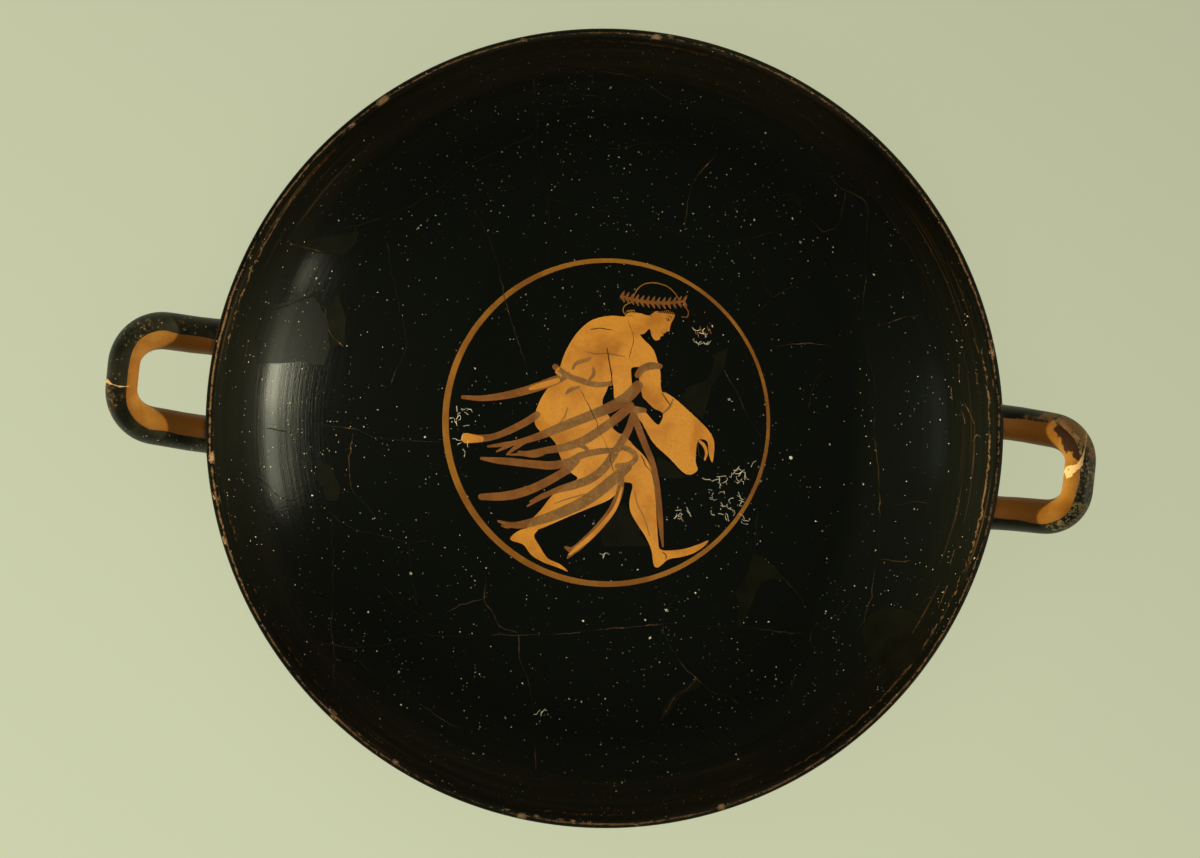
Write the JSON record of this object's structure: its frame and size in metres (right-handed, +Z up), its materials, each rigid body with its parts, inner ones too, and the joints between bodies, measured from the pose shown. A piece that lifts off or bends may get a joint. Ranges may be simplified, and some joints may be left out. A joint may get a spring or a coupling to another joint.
{
  "type": "drinking cup",
  "caption": "Ancient Greek kylix: wide shallow footed drinking cup of black-gloss pottery with a loop handle on each side and a painted picture in the floor.",
  "frame": {"origin": "centre of the ring on which the foot rests", "axes": "+Z up along the cup's axis, +X through the middle of one handle, +Y across"},
  "size_m": [0.3972, 0.32, 0.1274],
  "materials": {
    "black_gloss": "black slip gloss over orange clay"
  },
  "bodies": {
    "root": {"kylix": "black_gloss"}
  },
  "joints": []
}
